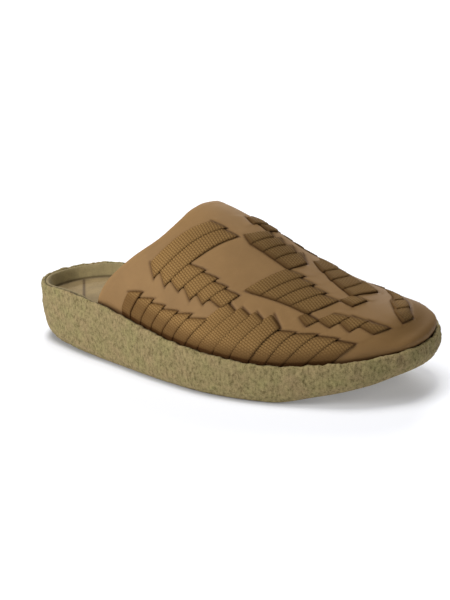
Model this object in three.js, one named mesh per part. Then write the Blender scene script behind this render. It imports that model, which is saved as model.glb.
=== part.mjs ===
// A closed-toe house mule for the right foot, millimetres, +Z up.
//
// +X points to the toe and +Y to the medial side, so the lateral side lies at -Y.
// The pieces are a crepe cup outsole, a lined footbed that sits in the cup, an insole
// that lies in the footbed, and a hollow upper whose skirt stands in the channel
// between the cup's wall and the footbed.

import * as THREE from "three";
import { mergeVertices } from "three/addons/utils/BufferGeometryUtils.js";

// ---- Driving dimensions -------------------------------------------------------------

const LENGTH = 285;            // the outline that the sole is drawn in from, heel to toe
const HEEL_POINT_Y = -1;       // where the outline crosses the back of the heel
const TOE_POINT_Y = 10;        // where the outline crosses the tip of the toe
const GAP = 0.3;               // free space between pieces that meet

const RIM_WALL = 4;            // thickness of the cup's crepe wall at its top
const UPPER_WALL = 2.4;        // leather and lining together
const SKIRT_DEPTH = 9;         // how far the upper reaches down inside the cup
const INSOLE_THICKNESS = 3;
const FOOTBED_THICKNESS = 2;

const COLLAR_BASE_X = 64;      // where the collar leaves the rim, on both sides
const COLLAR_TOP_X = 129;      // where the collar crosses the instep
const COLLAR_TOP_Y = 6;        // the instep's ridge lies a little to the medial side
const COLLAR_LEAN = 1.3;       // how late the collar's edge sweeps forward as it climbs
const TOE_CAP_LENGTH = 18;     // the rounded front of the toe box
const MEDIAL_FULLNESS = 0.9;   // below 1, the medial side of the instep is fuller

// The outsole's outline: how far the edge lies to each side of the axis.
const OUTLINE = [
  { x: 9, lateral: 19, medial: 21 },
  { x: 38, lateral: 32, medial: 34 },
  { x: 75, lateral: 41, medial: 35 },
  { x: 115, lateral: 51, medial: 35.5 },
  { x: 155, lateral: 57, medial: 42 },
  { x: 190, lateral: 54.5, medial: 49 },
  { x: 222, lateral: 46.5, medial: 51.5 },
  { x: 250, lateral: 36.5, medial: 49.5 },
  { x: 270, lateral: 22.5, medial: 42 },
  { x: 281, lateral: 9.5, medial: 29.5 },
];

// Heights along the shoe: the cup's rim on each side, and the insole's top at its edge.
const HEIGHTS = [
  { x: 0, lateral: 39.5, medial: 39.5, seat: 31 },
  { x: 40, lateral: 42.8, medial: 42.8, seat: 34.3 },
  { x: 80, lateral: 39.5, medial: 39.5, seat: 31 },
  { x: 120, lateral: 33, medial: 33, seat: 24.5 },
  { x: 160, lateral: 29, medial: 29, seat: 20.5 },
  { x: 200, lateral: 26.5, medial: 27.5, seat: 18 },
  { x: 240, lateral: 30.5, medial: 34, seat: 23.5 },
  { x: 270, lateral: 34.5, medial: 39.5, seat: 28.5 },
  { x: 285, lateral: 37, medial: 37, seat: 30 },
];

// The tread: lifted at the back of the heel, flat to the ball, then toe spring.
const TREAD = [
  { x: 0, z: 3 },
  { x: 25, z: 0 },
  { x: 200, z: 0 },
  { x: 230, z: 6 },
  { x: 260, z: 13.5 },
  { x: 285, z: 20.5 },
];

// The ridge of the upper, from the collar over the instep to the toe box.
const CROWN = [
  { x: 129, z: 107 },
  { x: 160, z: 98.5 },
  { x: 200, z: 77.5 },
  { x: 240, z: 61 },
  { x: 265, z: 54 },
  { x: 281, z: 50.5 },
];

// How far along the upper the collar is cut, by degrees around from the lateral rim.
const COLLAR_CUT = [
  { x: 0, along: 0.005 },
  { x: 15, along: -0.001 },
  { x: 30, along: 0.002 },
  { x: 45, along: 0.011 },
  { x: 60, along: 0.002 },
  { x: 72, along: -0.008 },
  { x: 82, along: -0.006 },
  { x: 90, along: 0.01 },
  { x: 98, along: 0.02 },
  { x: 108, along: 0.015 },
  { x: 120, along: 0.009 },
  { x: 135, along: 0.009 },
  { x: 150, along: 0.002 },
  { x: 165, along: -0.001 },
  { x: 180, along: 0.005 },
];

// How finely the curved pieces are divided.
const STEPS_PER_SPAN = 5;      // along the outline, between two rows of its table
const SLICES = 32;             // along the upper, from the collar to the toe
const ARC_STEPS = 12;          // up each side of the upper, from the rim to the ridge

// ---- Curves -------------------------------------------------------------------------

// A smooth height profile through a table's rows that never overshoots them.
function profile(rows, column) {
  const xs = rows.map((row) => row.x);
  const ys = rows.map((row) => row[column]);
  const last = xs.length - 1;
  const widths = xs.slice(1).map((x, i) => x - xs[i]);
  const secants = widths.map((width, i) => (ys[i + 1] - ys[i]) / width);
  const slopes = xs.map((_, i) => {
    if (i === 0 || i === last || secants[i - 1] * secants[i] <= 0) return 0;
    const before = 2 * widths[i] + widths[i - 1];
    const after = widths[i] + 2 * widths[i - 1];
    return (before + after) / (before / secants[i - 1] + after / secants[i]);
  });
  return (x) => {
    if (x <= xs[0]) return ys[0];
    if (x >= xs[last]) return ys[last];
    const i = xs.findIndex((value) => value > x) - 1;
    const t = (x - xs[i]) / widths[i];
    const rest = 1 - t;
    return ys[i] * (1 + 2 * t) * rest * rest
      + widths[i] * slopes[i] * t * rest * rest
      + ys[i + 1] * t * t * (3 - 2 * t)
      - widths[i] * slopes[i + 1] * t * t * rest;
  };
}

const rims = { lateral: profile(HEIGHTS, "lateral"), medial: profile(HEIGHTS, "medial") };
const rimHeight = (x, side) => rims[side](x);
const seatHeight = profile(HEIGHTS, "seat");
const treadHeight = profile(TREAD, "z");
const crownHeight = profile(CROWN, "z");
const collarCut = profile(COLLAR_CUT, "along");

// The outline runs from the heel along the lateral side to the toe and back.
const SPANS_PER_SIDE = OUTLINE.length + 1;
const outlineCurve = new THREE.CatmullRomCurve3(
  [
    new THREE.Vector3(0, HEEL_POINT_Y, 0),
    ...OUTLINE.map((row) => new THREE.Vector3(row.x, -row.lateral, 0)),
    new THREE.Vector3(LENGTH, TOE_POINT_Y, 0),
    ...OUTLINE.toReversed().map((row) => new THREE.Vector3(row.x, row.medial, 0)),
  ],
  true,
  "centripetal",
);

// A point of the outline moved inwards, with the station that its heights are read at.
function outlinePoint(fraction, inset) {
  const edge = outlineCurve.getPoint(fraction);
  const along = outlineCurve.getTangent(fraction);
  return { x: edge.x - along.y * inset, y: edge.y + along.x * inset, station: edge.x };
}

// A closed ring around the shoe. inset is a number or a function of the station, and
// height a function of the station and the side.
function ring(inset, height) {
  const count = 2 * SPANS_PER_SIDE * STEPS_PER_SPAN;
  return Array.from({ length: count }, (_, k) => {
    const { station } = outlinePoint(k / count, 0);
    const distance = typeof inset === "function" ? inset(station) : inset;
    const { x, y } = outlinePoint(k / count, distance);
    return new THREE.Vector3(x, y, height(station, k <= count / 2 ? "lateral" : "medial"));
  });
}

// ---- Solids from rings and grids ----------------------------------------------------

// Collects triangles and turns them into one closed geometry.
class Shell {
  constructor() {
    this.positions = [];
  }

  triangle(a, b, c) {
    const flat = a.distanceTo(b) < 1e-6 || b.distanceTo(c) < 1e-6 || c.distanceTo(a) < 1e-6;
    if (!flat) this.positions.push(...a.toArray(), ...b.toArray(), ...c.toArray());
  }

  quad(a, b, c, d) {
    this.triangle(a, b, c);
    this.triangle(a, c, d);
  }

  geometry() {
    const geometry = new THREE.BufferGeometry();
    geometry.setAttribute("position", new THREE.Float32BufferAttribute(this.positions, 3));
    return mergeVertices(geometry, 1e-4);
  }
}

// Fills a ring with rungs that join each lateral point to its medial partner.
function addRungs(shell, points, facesUp) {
  const half = points.length / 2;
  for (let k = 0; k < half; k += 1) {
    const lateral = [points[k], points[k + 1]];
    const medial = [points[(points.length - k) % points.length], points[points.length - k - 1]];
    if (facesUp) shell.quad(lateral[0], lateral[1], medial[1], medial[0]);
    else shell.quad(lateral[0], medial[0], medial[1], lateral[1]);
  }
}

// A solid skinned over rings, from its underside outwards, over the top and inwards.
function skinRings(rings) {
  const shell = new Shell();
  addRungs(shell, rings[0], false);
  for (let r = 1; r < rings.length; r += 1) {
    const [inner, outer] = [rings[r - 1], rings[r]];
    inner.forEach((point, k) => {
      const next = (k + 1) % inner.length;
      shell.quad(point, inner[next], outer[next], outer[k]);
    });
  }
  addRungs(shell, rings.at(-1), true);
  return shell.geometry();
}

// ---- Outsole ------------------------------------------------------------------------

// How far the wall draws in at the heel, from full behind the first x to none at the second.
const HEEL_TAPER = { full: 10, none: 80 };

// A cup of crepe rubber: rounded bottom edge, upright wall, soft rim, flat floor inside.
function outsoleGeometry() {
  const tread = treadHeight;
  const rim = rimHeight;
  const floor = (x) => seatHeight(x) - INSOLE_THICKNESS - FOOTBED_THICKNESS - 2 * GAP;
  const drawnIn = (inset, taper) => (x) => (
    inset + taper * (1 - THREE.MathUtils.smoothstep(x, HEEL_TAPER.full, HEEL_TAPER.none)));
  return skinRings([
    ring(drawnIn(8, 4), tread),
    ring(drawnIn(3.2, 3.5), (x) => tread(x) + 1.8),
    ring(drawnIn(0.9, 2.6), (x) => tread(x) + 6),
    ring(drawnIn(0.2, 1.2), (x, side) => (tread(x) + rim(x, side)) / 2),
    ring(drawnIn(0.3, 1.4), (x, side) => rim(x, side) - 6),
    ring(drawnIn(1, 0.8), (x, side) => rim(x, side) - 1),
    ring(2, rim),
    ring(RIM_WALL - 0.8, (x, side) => rim(x, side) - 0.1),
    ring(RIM_WALL, (x, side) => rim(x, side) - 1),
    ring(RIM_WALL, floor),
  ]);
}

// ---- Footbed ------------------------------------------------------------------------

// A lined tray. Behind the collar its wall lies against the cup and shows up to the rim.
// In front it stands back by the upper's wall, and is lower.
const BAND_FOOT_INSET = 9;     // where the wall's inner face meets the tray's floor
const BAND_DROP = 0.7;         // the lining's top edge below the rim
const TUCKED_HEIGHT = 3;       // the wall above the insole, under the upper
const STEP_BACK = { from: 48, to: 60 };

function footbedGeometry() {
  const forward = (x) => THREE.MathUtils.smoothstep(x, STEP_BACK.from, STEP_BACK.to);
  const outer = (x) => RIM_WALL + GAP + (UPPER_WALL + GAP) * forward(x);
  const top = (x, side) => THREE.MathUtils.lerp(
    rimHeight(x, side) - BAND_DROP, seatHeight(x) + TUCKED_HEIGHT, forward(x));
  const trayFloor = (x) => seatHeight(x) - INSOLE_THICKNESS - GAP;
  return skinRings([
    ring(outer, (x) => trayFloor(x) - FOOTBED_THICKNESS),
    ring(outer, (x, side) => top(x, side) - 0.8),
    ring((x) => outer(x) + 0.8, top),
    ring((x) => outer(x) + 1.8, (x, side) => top(x, side) - 0.8),
    ring(BAND_FOOT_INSET, trayFloor),
  ]);
}

// ---- Insole -------------------------------------------------------------------------

const HEEL_DISH = 1.5;         // how far the middle of the insole lies below its edge

function insoleGeometry() {
  const edge = BAND_FOOT_INSET + GAP;
  return skinRings([
    ring(edge, (x) => seatHeight(x) - INSOLE_THICKNESS),
    ring(edge + 0.2, (x) => seatHeight(x) - 0.8),
    ring(edge + 1.2, seatHeight),
    ring(edge + 7, (x) => seatHeight(x) - HEEL_DISH),
  ]);
}

// ---- Upper --------------------------------------------------------------------------

const FEATHER_INSET = RIM_WALL + GAP;
const toeTip = outlinePoint(0.5, FEATHER_INSET);
const EDGE_SAMPLES = 440;

// Where the upper meets the rim on one side, as a function of the distance from the heel.
function featherEdge(side) {
  const points = Array.from({ length: EDGE_SAMPLES + 1 }, (_, k) => {
    const half = (k / EDGE_SAMPLES) / 2;
    return outlinePoint(side === "lateral" ? half : (1 - half) % 1, FEATHER_INSET);
  });
  return (x) => {
    const found = points.findIndex((point) => point.x >= x);
    const i = found < 1 ? points.length - 1 : found;
    const [before, after] = [points[i - 1], points[i]];
    return THREE.MathUtils.mapLinear(x, before.x, after.x, before.y, after.y);
  };
}

const featherY = { lateral: featherEdge("lateral"), medial: featherEdge("medial") };

// The upper's outer face. along runs from about the collar, 0, to the toe, 1.
// angle runs from the lateral rim, 0, over the ridge to the medial rim, PI.
function upperPoint(along, angle) {
  const reach = Math.sin(along * Math.PI / 2);
  const baseX = THREE.MathUtils.lerp(COLLAR_BASE_X, toeTip.x, reach);
  const ridgeX = THREE.MathUtils.lerp(COLLAR_TOP_X, toeTip.x, reach);
  const ridgeY = THREE.MathUtils.lerp(COLLAR_TOP_Y, toeTip.y, reach);
  const side = angle < Math.PI / 2 ? "lateral" : "medial";
  const baseY = featherY[side](baseX);
  const baseZ = rimHeight(baseX, side);
  const intoCap = Math.max(0, ridgeX - (toeTip.x - TOE_CAP_LENGTH)) / TOE_CAP_LENGTH;
  const capHeight = Math.sqrt(Math.max(0, 1 - intoCap * intoCap));
  const toeZ = (rimHeight(ridgeX, "lateral") + rimHeight(ridgeX, "medial")) / 2;
  const ridgeZ = THREE.MathUtils.lerp(toeZ, crownHeight(ridgeX), capHeight);
  const rise = Math.max(0, Math.sin(angle));
  const level = Math.abs(Math.cos(angle)) ** (side === "medial" ? MEDIAL_FULLNESS : 1);
  return new THREE.Vector3(
    THREE.MathUtils.lerp(baseX, ridgeX, rise ** COLLAR_LEAN),
    THREE.MathUtils.lerp(baseY, ridgeY, 1 - level),
    THREE.MathUtils.lerp(baseZ, ridgeZ, rise),
  );
}

// The outward direction of the upper's face, from its slope along and around.
function upperNormal(along, angle) {
  const step = 1e-3;
  const middle = Math.min(along, 1 - 2 * step);
  const near = THREE.MathUtils.clamp(angle, step, Math.PI - step);
  const alongSlope = upperPoint(middle + step, near).sub(upperPoint(middle - step, near));
  const aroundSlope = upperPoint(along, near + step).sub(upperPoint(along, near - step));
  return alongSlope.cross(aroundSlope).normalize();
}

function upperGeometry() {
  const columns = 2 * ARC_STEPS + 2;
  const down = new THREE.Vector3(0, 0, -SKIRT_DEPTH);
  const outer = [];
  const inner = [];
  for (let i = 0; i <= SLICES; i += 1) {
    const atToe = i === SLICES;
    outer.push([]);
    inner.push([]);
    for (let j = 0; j <= columns; j += 1) {
      const inSkirt = j === 0 || j === columns;
      const step = THREE.MathUtils.clamp(j - 1, 0, columns - 2);
      const angle = Math.PI * step / (columns - 2);
      const along = THREE.MathUtils.lerp(collarCut(180 * angle / Math.PI), 1, i / SLICES);
      const point = atToe
        ? new THREE.Vector3(toeTip.x, toeTip.y, rimHeight(toeTip.x, "lateral"))
        : upperPoint(along, angle);
      const normal = atToe ? new THREE.Vector3(1, 0, 0) : upperNormal(along, angle);
      if (step === 0 || step === columns - 2) normal.setZ(0).normalize();
      if (inSkirt) point.add(down);
      outer[i].push(point);
      inner[i].push(point.clone().addScaledVector(normal, -UPPER_WALL));
    }
  }

  const shell = new Shell();
  for (let i = 0; i < SLICES; i += 1) {
    for (let j = 0; j < columns; j += 1) {
      shell.quad(outer[i][j], outer[i + 1][j], outer[i + 1][j + 1], outer[i][j + 1]);
      shell.quad(inner[i][j], inner[i][j + 1], inner[i + 1][j + 1], inner[i + 1][j]);
    }
    shell.quad(outer[i][0], inner[i][0], inner[i + 1][0], outer[i + 1][0]);
    shell.quad(outer[i][columns], outer[i + 1][columns], inner[i + 1][columns], inner[i][columns]);
  }
  addCollarEdge(shell, outer, inner, columns);
  return shell.geometry();
}

// The collar's edge is half round, from the outer face over to the inner one.
function addCollarEdge(shell, outer, inner, columns) {
  const turns = [0, 1, 2, 3, 4].map((k) => k * Math.PI / 4);
  const edge = outer[0].map((point, j) => {
    const middle = point.clone().add(inner[0][j]).multiplyScalar(0.5);
    const outward = point.clone().sub(middle);
    const back = point.clone().sub(outer[1][j]).normalize();
    const square = outward.clone().normalize();
    back.addScaledVector(square, -back.dot(square)).setLength(outward.length());
    return turns.map((turn, k) => {
      if (k === 0) return point;
      if (k === turns.length - 1) return inner[0][j];
      return middle.clone()
        .addScaledVector(outward, Math.cos(turn))
        .addScaledVector(back, Math.sin(turn));
    });
  });
  for (let j = 0; j < columns; j += 1) {
    for (let k = 1; k < turns.length; k += 1) {
      shell.quad(edge[j][k - 1], edge[j + 1][k - 1], edge[j + 1][k], edge[j][k]);
    }
  }
  for (let k = 2; k < turns.length; k += 1) {
    shell.triangle(edge[0][0], edge[0][k - 1], edge[0][k]);
    shell.triangle(edge[columns][0], edge[columns][k], edge[columns][k - 1]);
  }
}

// ---- The shoe -----------------------------------------------------------------------

const FINISHES = {
  outsole: { color: 0x9c8c68, roughness: 0.95, metalness: 0 },
  footbed: { color: 0x857657, roughness: 0.9, metalness: 0 },
  insole: { color: 0x8f7d5c, roughness: 0.9, metalness: 0 },
  upper: { color: 0x8c6d49, roughness: 0.7, metalness: 0 },
};

const shoe = new THREE.Group();
const pieces = {
  outsole: outsoleGeometry(),
  footbed: footbedGeometry(),
  insole: insoleGeometry(),
  upper: upperGeometry(),
};
for (const [name, geometry] of Object.entries(pieces)) {
  const mesh = new THREE.Mesh(geometry, new THREE.MeshStandardMaterial(FINISHES[name]));
  mesh.name = name;
  shoe.add(mesh);
}

// The origin is on the floor, under the middle of the shoe's box.
const box = new THREE.Box3().setFromObject(shoe);
const middle = box.getCenter(new THREE.Vector3());
shoe.position.set(-middle.x, -middle.y, -box.min.z);

export default shoe;
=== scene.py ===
"""A woven house mule on a crepe cup sole, built around its CAD frame.

Every piece is made from the shoe's own section tables: the outline seen from above, the
height of the rim on each side, and the ridge of the upper. Lengths in the tables are
millimetres in the shoe's own axes, with x from the back of the heel to the toe.
"""

import math

import bmesh
import bpy
import numpy as np
from bpy.props import FloatProperty, FloatVectorProperty, IntProperty, PointerProperty
from mathutils import Matrix, Vector


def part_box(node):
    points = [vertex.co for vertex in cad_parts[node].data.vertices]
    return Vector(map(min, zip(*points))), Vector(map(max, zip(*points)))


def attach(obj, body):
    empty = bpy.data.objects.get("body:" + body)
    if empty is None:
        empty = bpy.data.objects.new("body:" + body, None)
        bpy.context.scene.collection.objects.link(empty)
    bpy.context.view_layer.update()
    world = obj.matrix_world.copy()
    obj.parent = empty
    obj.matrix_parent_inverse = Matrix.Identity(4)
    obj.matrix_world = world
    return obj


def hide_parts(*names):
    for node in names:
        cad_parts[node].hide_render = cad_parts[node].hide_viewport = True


bl_info = {
    "name": "Woven house mule",
    "version": (1, 0, 0),
    "blender": (4, 5, 0),
    "location": "View3D > Sidebar > Mule",
    "description": "Builds a woven mule with a crepe sole around its CAD frame",
    "category": "Add Mesh",
}

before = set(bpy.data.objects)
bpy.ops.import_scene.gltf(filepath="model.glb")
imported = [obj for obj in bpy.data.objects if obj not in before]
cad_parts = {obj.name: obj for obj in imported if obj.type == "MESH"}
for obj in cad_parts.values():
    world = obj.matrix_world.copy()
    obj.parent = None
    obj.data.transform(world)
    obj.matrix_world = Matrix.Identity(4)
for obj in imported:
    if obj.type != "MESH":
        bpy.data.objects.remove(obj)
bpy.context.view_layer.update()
BODY = "root"
MM = 0.001


def table(names, *rows):
    """Columns by name from rows of numbers."""
    return dict(zip(names.split(), np.array(rows, float).T))


# ---- The shoe's sections -------------------------------------------------------------

LENGTH = 285
HEEL_POINT_Y = -1
TOE_POINT_Y = 10
CURVE_STEPS = 60
POINTS_PER_SIDE = 430
GAP = 0.3
WALL_INSET = 0.2
RIM_WALL = 4
UPPER_WALL = 2.4
SKIRT_DEPTH = 9
INSOLE_THICKNESS = 3
FOOTBED_THICKNESS = 2
FEATHER_INSET = RIM_WALL + GAP
COLLAR_BASE_X = 64
COLLAR_TOP_X = 129
COLLAR_TOP_Y = 6
COLLAR_LEAN = 1.3
TOE_CAP_LENGTH = 18
MEDIAL_FULLNESS = 0.9

OUTLINE = table(
    "x lateral medial",
    (9, 19, 21),
    (38, 32, 34),
    (75, 41, 35),
    (115, 51, 35.5),
    (155, 57, 42),
    (190, 54.5, 49),
    (222, 46.5, 51.5),
    (250, 36.5, 49.5),
    (270, 22.5, 42),
    (281, 9.5, 29.5),
)
HEIGHTS = table(
    "x lateral medial seat",
    (0, 39.5, 39.5, 31),
    (40, 42.8, 42.8, 34.3),
    (80, 39.5, 39.5, 31),
    (120, 33, 33, 24.5),
    (160, 29, 29, 20.5),
    (200, 26.5, 27.5, 18),
    (240, 30.5, 34, 23.5),
    (270, 34.5, 39.5, 28.5),
    (285, 37, 37, 30),
)
TREAD = table("x z", (0, 3), (25, 0), (200, 0), (230, 6), (260, 13.5), (285, 20.5))
CROWN = table(
    "x z", (129, 107), (160, 98.5), (200, 77.5), (240, 61), (265, 54), (281, 50.5)
)
# How far along the upper the collar is cut, by degrees around from the lateral rim.
COLLAR_CUT = table(
    "x along",
    (0, 0.005),
    (15, -0.001),
    (30, 0.002),
    (45, 0.011),
    (60, 0.002),
    (72, -0.008),
    (82, -0.006),
    (90, 0.01),
    (98, 0.02),
    (108, 0.015),
    (120, 0.009),
    (135, 0.009),
    (150, 0.002),
    (165, -0.001),
    (180, 0.005),
)


def hermite(xs, ys, slopes, x):
    """The cubic curve through a row of points with the given slopes there, read at x."""
    i = np.clip(np.searchsorted(xs, x, side="right") - 1, 0, len(xs) - 2)
    width = np.diff(xs)[i]
    t = (x - xs[i]) / width
    return (
        ys[i] * (1 + 2 * t) * (1 - t) ** 2
        + width * slopes[i] * t * (1 - t) ** 2
        + ys[i + 1] * t * t * (3 - 2 * t)
        - width * slopes[i + 1] * t * t * (1 - t)
    )


def profile(columns, name):
    """A smooth curve through a column of a table that never overshoots its rows."""
    xs, ys = columns["x"], columns[name]
    widths = np.diff(xs)
    secants = np.diff(ys) / widths
    slopes = np.zeros(len(xs))
    for i in range(1, len(xs) - 1):
        if secants[i - 1] * secants[i] > 0:
            before = 2 * widths[i] + widths[i - 1]
            after = widths[i] + 2 * widths[i - 1]
            slopes[i] = (before + after) / (before / secants[i - 1] + after / secants[i])
    return lambda x: hermite(xs, ys, slopes, np.clip(np.asarray(x, float), xs[0], xs[-1]))


lateral_rim = profile(HEIGHTS, "lateral")
medial_rim = profile(HEIGHTS, "medial")
seat_height = profile(HEIGHTS, "seat")
tread_height = profile(TREAD, "z")
crown_height = profile(CROWN, "z")
collar_cut = profile(COLLAR_CUT, "along")


def rim_height(x, medial):
    """The height of the rim on one side or the other."""
    return np.where(medial, medial_rim(x), lateral_rim(x))


def mix(a, b, t):
    """What lies a share t of the way from a to b."""
    return a + (b - a) * t


def smooth_step(low, high, x):
    """0 up to low, 1 from high on, and a smooth rise between."""
    t = np.clip((x - low) / (high - low), 0, 1)
    return t * t * (3 - 2 * t)


def not_zero(x, least):
    """x, or least where x is closer to zero than that."""
    return np.where(np.abs(x) < least, least, x)


def bell(distance, width):
    """1 at no distance, fading to nothing within about two widths."""
    return np.exp(-((distance / width) ** 2))


def run_length(points):
    """The distance along lines of points, from the first row on."""
    steps = np.linalg.norm(np.diff(points, axis=0), axis=-1)
    return np.concatenate([np.zeros_like(steps[:1]), np.cumsum(steps, axis=0)])


def read_rows(places, known, rows):
    """Rows of numbers that belong to the known places, read at others between them."""
    return np.stack([np.interp(places, known, column) for column in rows.T], 1)


def outline_points():
    """The closed outline from the heel along the lateral side to the toe and back."""
    lateral = np.stack([OUTLINE["x"], -OUTLINE["lateral"]], 1)
    medial = np.stack([OUTLINE["x"], OUTLINE["medial"]], 1)
    return np.concatenate(
        [[(0, HEEL_POINT_Y)], lateral, [(LENGTH, TOE_POINT_Y)], medial[::-1]]
    )


def closed_curve(points, steps):
    """A centripetal Catmull-Rom curve through the points, steps samples to each span."""
    t = np.linspace(0, 1, steps, endpoint=False)[:, None]
    spans = []
    for i in range(len(points)):
        p0, p1, p2, p3 = (points[(i + k) % len(points)] for k in (-1, 0, 1, 2))
        d0, d1, d2 = (
            np.sqrt(np.linalg.norm(b - a)) for a, b in ((p0, p1), (p1, p2), (p2, p3))
        )
        start = ((p1 - p0) / d0 - (p2 - p0) / (d0 + d1) + (p2 - p1) / d1) * d1
        end = ((p2 - p1) / d1 - (p3 - p1) / (d1 + d2) + (p3 - p2) / d2) * d1
        spans.append(
            p1
            + start * t
            + (-3 * p1 + 3 * p2 - 2 * start - end) * t**2
            + (2 * p1 - 2 * p2 + start + end) * t**3
        )
    return np.concatenate(spans)


class Outline:
    """The outline at even spacing on each side, with its inward direction at each point."""

    def __init__(self, per_side):
        dense = closed_curve(outline_points(), CURVE_STEPS)
        half = len(dense) // 2
        sides = [dense[: half + 1], np.concatenate([dense[half:], dense[:1]])]
        parts = []
        for side in sides:
            run = run_length(side)
            even = np.linspace(0, run[-1], per_side, endpoint=False)
            parts.append(read_rows(even, run, side))
        self.edge = np.concatenate(parts)
        along = np.roll(self.edge, -1, 0) - np.roll(self.edge, 1, 0)
        along /= np.linalg.norm(along, axis=1)[:, None]
        self.inward = np.stack([-along[:, 1], along[:, 0]], 1)
        self.x = self.edge[:, 0]
        self.medial = np.arange(len(self.edge)) > per_side
        self.rim = rim_height(self.x, self.medial)
        self.tread = tread_height(self.x)
        self.seat = seat_height(self.x)

    def ring(self, inset, height):
        """The outline drawn in by an inset, at a height."""
        flat = self.edge + self.inward * np.reshape(inset, (-1, 1))
        return np.column_stack([flat, np.broadcast_to(height, len(flat))])


FINE = Outline(POINTS_PER_SIDE)
HALF = len(FINE.edge) // 2


def feather_line(medial):
    """x and y of the line where the upper meets the rim on one side."""
    ring = FINE.ring(FEATHER_INSET, 0)
    if medial:
        ring = np.concatenate([ring[HALF:], ring[:1]])[::-1]
    else:
        ring = ring[: HALF + 1]
    return ring[:, 0], ring[:, 1]


LATERAL_FEATHER = feather_line(False)
MEDIAL_FEATHER = feather_line(True)
TOE_TIP = np.array([LATERAL_FEATHER[0][-1], LATERAL_FEATHER[1][-1]])
# The steps to each side, along and in degrees, from which a normal is found.
ALONG_STEP = 1e-3
ANGLE_STEP = 0.05
LAST_ALONG = 0.998
TINY = 1e-9


def surface(along, angle):
    """Points of the upper's outer face. along: about 0 at the collar, 1 at the toe.
    angle, in degrees: 0 at the lateral rim, 90 on the ridge, 180 at the medial rim."""
    along, angle = np.broadcast_arrays(np.asarray(along, float), np.asarray(angle, float))
    medial = angle >= 90
    reach = np.sin(along * math.pi / 2)
    base_x = mix(COLLAR_BASE_X, TOE_TIP[0], reach)
    ridge_x = mix(COLLAR_TOP_X, TOE_TIP[0], reach)
    ridge_y = mix(COLLAR_TOP_Y, TOE_TIP[1], reach)
    base_y = np.where(
        medial, np.interp(base_x, *MEDIAL_FEATHER), np.interp(base_x, *LATERAL_FEATHER)
    )
    base_z = rim_height(base_x, medial)
    into_cap = np.clip((ridge_x - TOE_TIP[0]) / TOE_CAP_LENGTH + 1, 0, 1)
    cap = np.sqrt(1 - into_cap**2)
    toe_z = (lateral_rim(ridge_x) + medial_rim(ridge_x)) / 2
    ridge_z = mix(toe_z, crown_height(ridge_x), cap)
    rise = np.sin(np.radians(angle))
    level = np.abs(np.cos(np.radians(angle))) ** np.where(medial, MEDIAL_FULLNESS, 1)
    lean = np.sign(rise) * np.abs(rise) ** COLLAR_LEAN
    return np.stack(
        [mix(base_x, ridge_x, lean), mix(base_y, ridge_y, 1 - level), mix(base_z, ridge_z, rise)],
        -1,
    )


def surface_normal(along, angle):
    """The outward direction of the upper's face."""
    middle = np.minimum(along, LAST_ALONG)
    lengthways = surface(middle + ALONG_STEP, angle) - surface(middle - ALONG_STEP, angle)
    around = surface(along, angle + ANGLE_STEP) - surface(along, angle - ANGLE_STEP)
    normal = np.cross(lengthways, around)
    size = np.linalg.norm(normal, axis=-1, keepdims=True)
    return np.where(size > TINY, normal / np.maximum(size, TINY), (1.0, 0.0, 0.0))


def degree_length(along, angle):
    """How many millimetres one degree covers at each place."""
    return np.linalg.norm(surface(along, angle + 0.5) - surface(along, angle - 0.5), axis=-1)


def find_shift():
    """The step from the shoe's own axes to the frame's, from the box of the CAD outsole."""
    low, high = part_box("outsole")
    wall = FINE.ring(WALL_INSET, 0)
    x = high.x / MM - wall[:, 0].max()
    y = (low.y + high.y) / 2 / MM - (wall[:, 1].min() + wall[:, 1].max()) / 2
    return np.array([x, y, 0])


SHIFT = find_shift()


def to_frame(points):
    """Points in the shoe's own axes, in the frame's metres."""
    return (points + SHIFT) * MM


# ---- Meshes --------------------------------------------------------------------------

MERGE_DISTANCE = 2e-6


def grid_faces(rows, columns, wrap_columns=False):
    """Quads of a grid whose points are numbered row by row."""
    i, j = np.meshgrid(
        np.arange(rows - 1), np.arange(columns if wrap_columns else columns - 1), indexing="ij"
    )
    k = (j + 1) % columns
    near, far = i * columns, (i + 1) * columns
    return np.stack([near + j, near + k, far + k, far + j]).reshape(4, -1).T.tolist()


def numbered_from(first, faces):
    """Faces with every point number raised by first."""
    return [[first + v for v in face] for face in faces]


def flipped(faces):
    """Faces that look the other way."""
    return [face[::-1] for face in faces]


def with_zeros(attributes, count):
    """Attribute columns, each followed by zeros for count more points."""
    return {
        label: np.concatenate([values.ravel(), np.zeros(count)])
        for label, values in attributes.items()
    }


def edit_mesh(mesh, edit):
    """Changes a mesh by what edit does to it as a bmesh."""
    loose = bmesh.new()
    loose.from_mesh(mesh)
    edit(loose)
    loose.to_mesh(mesh)
    loose.free()


def merge_points(loose):
    """Joins the points that lie on each other."""
    bmesh.ops.remove_doubles(loose, verts=loose.verts, dist=MERGE_DISTANCE)


def face_outwards(loose):
    """Turns every face of a closed mesh outwards."""
    bmesh.ops.recalc_face_normals(loose, faces=loose.faces)


def add_attribute(mesh, label, values):
    """Stores a float for each point."""
    layer = mesh.attributes.new(label, "FLOAT", "POINT")
    layer.data.foreach_set("value", np.asarray(values, np.float32))


def make_object(name, points, faces, attributes=None, merge=False):
    """A mesh object in the frame, smooth, with one float attribute for each named column."""
    mesh = bpy.data.meshes.new(name)
    mesh.from_pydata(to_frame(np.asarray(points)).tolist(), [], faces)
    for label, values in (attributes or {}).items():
        add_attribute(mesh, label, values)
    if merge:
        edit_mesh(mesh, merge_points)
    mesh.validate()
    mesh.shade_smooth()
    piece = bpy.data.objects.new(name, mesh)
    bpy.context.scene.collection.objects.link(piece)
    return piece


def smooth_rows(rows, passes):
    """Rounds the corners of a stack of rings, leaving its first and last ring."""
    rows = rows.copy()
    for _ in range(passes):
        rows[1:-1] = (rows[:-2] + 2 * rows[1:-1] + rows[2:]) / 4
    return rows


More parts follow.
